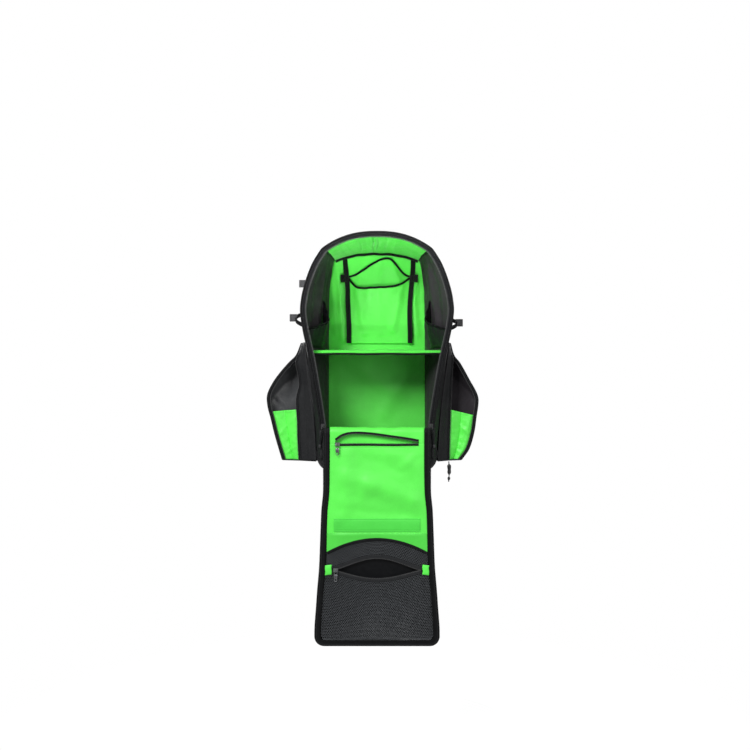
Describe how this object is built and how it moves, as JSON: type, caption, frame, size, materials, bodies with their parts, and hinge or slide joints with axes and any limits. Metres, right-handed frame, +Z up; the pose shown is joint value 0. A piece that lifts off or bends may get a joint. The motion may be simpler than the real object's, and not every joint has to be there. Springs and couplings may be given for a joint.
{
  "type": "baseball bat backpack",
  "caption": "Sports backpack shown open: front panel unzipped and hanging, shelf between compartments, open side pockets, bat straps and a net pocket.",
  "frame": {"origin": "where a hook bears in the haul loop: the middle of the underside of its top", "axes": "+Z up as the bag hangs, its open front faces -Y, and +X is to the right of someone who looks at the front"},
  "size_m": [0.4987, 0.3052, 0.957],
  "materials": {
    "black_cloth": "matte coated weave",
    "black_webbing": "ribbed webbing and zip tape",
    "black_net": "open net",
    "green_lining": "light sheen, bright green",
    "padding": "padded mesh cloth",
    "rubber": "matte",
    "zip_metal": "satin grey"
  },
  "bodies": {
    "bag": {"side_panel_right": "black_cloth", "side_panel_left": "black_cloth", "base_pan": "black_cloth", "lower_front_panel": "black_cloth", "wall_pocket_left": "black_cloth", "wall_pocket_right": "black_cloth", "flap_shell": "black_cloth", "pocket_wall_left": "black_cloth", "pocket_wall_right": "black_cloth", "pocket_facing_left": "black_cloth", "pocket_facing_right": "black_cloth", "bat_sleeve_left": "black_cloth", "bat_sleeve_right": "black_cloth", "mouth_zip_right": "black_webbing", "mouth_zip_top": "black_webbing", "mouth_zip_left": "black_webbing", "back_seam_tape": "black_webbing", "shelf_binding": "black_webbing", "organiser_rear_pocket_binding": "black_webbing", "organiser_front_pocket_binding": "black_webbing", "organiser_strap_left": "black_webbing", "organiser_strap_right": "black_webbing", "flap_edge_left": "black_webbing", "flap_edge_right": "black_webbing", "flap_edge_lower": "black_webbing", "lining_zip_upper": "black_webbing", "lining_zip_lower": "black_webbing", "net_zip_upper": "black_webbing", "net_zip_lower": "black_webbing", "pocket_edge_left": "black_webbing", "pocket_edge_right": "black_webbing", "bat_strap_left_upper": "black_webbing", "bat_strap_left_lower": "black_webbing", "bat_strap_right_upper": "black_webbing", "bat_strap_right_lower": "black_webbing", "haul_loop": "black_webbing", "net_upper": "black_net", "net_pocket": "black_net", "top_panel": "green_lining", "back_panel": "green_lining", "shelf": "green_lining", "organiser_rear_pocket": "green_lining", "organiser_front_pocket": "green_lining", "flap_lining_upper": "green_lining", "flap_lining_lower": "green_lining", "lining_band": "green_lining", "net_zip_tab_left": "green_lining", "net_zip_tab_right": "green_lining", "pocket_gusset_left": "green_lining", "pocket_gusset_right": "green_lining", "back_pad": "padding", "shoulder_strap_left": "padding", "shoulder_strap_right": "padding", "pocket_pull_right": "rubber", "mouth_pull_left": "rubber", "mouth_pull_right": "rubber", "lining_zip_slider": "zip_metal", "net_zip_slider": "zip_metal"},
    "lining_puller": {"lining_zip_puller": "zip_metal"},
    "net_puller": {"net_zip_puller": "zip_metal"}
  },
  "joints": [
    {"name": "lining_puller_swing", "type": "hinge", "parent": "bag", "child": "lining_puller", "pos_m": [-0.09, -0.2505, -0.496], "axis": [0, 1, 0], "range_deg": [-75, 75]},
    {"name": "net_puller_swing", "type": "hinge", "parent": "bag", "child": "net_puller", "pos_m": [-0.094, -0.2496, -0.7825], "axis": [0, 1, 0], "range_deg": [-75, 75]}
  ]
}
